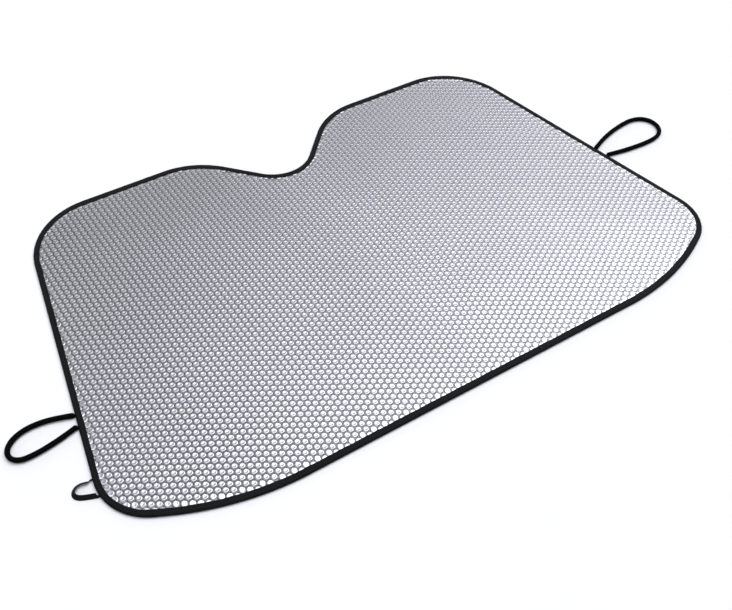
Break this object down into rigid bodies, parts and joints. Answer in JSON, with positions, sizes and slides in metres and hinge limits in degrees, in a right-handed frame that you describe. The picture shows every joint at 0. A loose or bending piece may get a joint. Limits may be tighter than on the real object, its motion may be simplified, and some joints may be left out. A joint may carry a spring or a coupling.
{
  "type": "windscreen sunshade",
  "caption": "Flexible bubbled-foil windscreen sunshade with a mirror notch, taped edge, elastic cord loops at both sides and a small hanging strap; folds across its middle.",
  "frame": {"origin": "on the fold line, in the middle of the lower binding lip, on the plane the shade rests on", "axes": "+X along the long edge to the right, +Y from the lower edge to the mirror notch, +Z out of the bubbled face"},
  "size_m": [1.5298, 0.774, 0.009],
  "materials": {
    "bubble_foil": "embossed, semi-gloss metallised film",
    "foam": "closed-cell foam",
    "back_foil": "semi-gloss metallised film",
    "binding_tape": "woven tape, slight sheen",
    "thread": "twisted polyester thread",
    "elastic_cord": "braided elastic cord",
    "strap_tape": "woven grosgrain tape"
  },
  "bodies": {
    "left_panel": {"face_film_left": "bubble_foil", "foam_core_left": "foam", "back_film_left": "back_foil", "binding_left": "binding_tape", "needle_thread_left": "thread", "bobbin_thread_left": "thread", "left_loop_ends": "elastic_cord", "strap_ends": "strap_tape"},
    "right_panel": {"face_film_right": "bubble_foil", "foam_core_right": "foam", "back_film_right": "back_foil", "binding_right": "binding_tape", "needle_thread_right": "thread", "bobbin_thread_right": "thread", "right_loop_ends": "elastic_cord"},
    "left_cord": {"left_loop": "elastic_cord"},
    "right_cord": {"right_loop": "elastic_cord"},
    "strap": {"hanging_strap": "strap_tape"}
  },
  "joints": [
    {"name": "fold", "type": "hinge", "parent": "left_panel", "child": "right_panel", "pos_m": [0, 0.32, 0.0065], "axis": [0, -1, 0], "range_deg": [0, 172]},
    {"name": "left_loop_swing", "type": "hinge", "parent": "left_panel", "child": "left_cord", "pos_m": [-0.628, 0.28175, 0.0045], "axis": [0.1998, 0.9798, 0], "range_deg": [0, 80]},
    {"name": "right_loop_swing", "type": "hinge", "parent": "right_panel", "child": "right_cord", "pos_m": [0.61235, 0.35825, 0.0045], "axis": [0.2021, -0.9794, 0], "range_deg": [0, 80]},
    {"name": "strap_swing", "type": "hinge", "parent": "left_panel", "child": "strap", "pos_m": [-0.6515, 0.1487, 0.003], "axis": [0.0797, 0.9968, 0], "range_deg": [0, 80]}
  ]
}
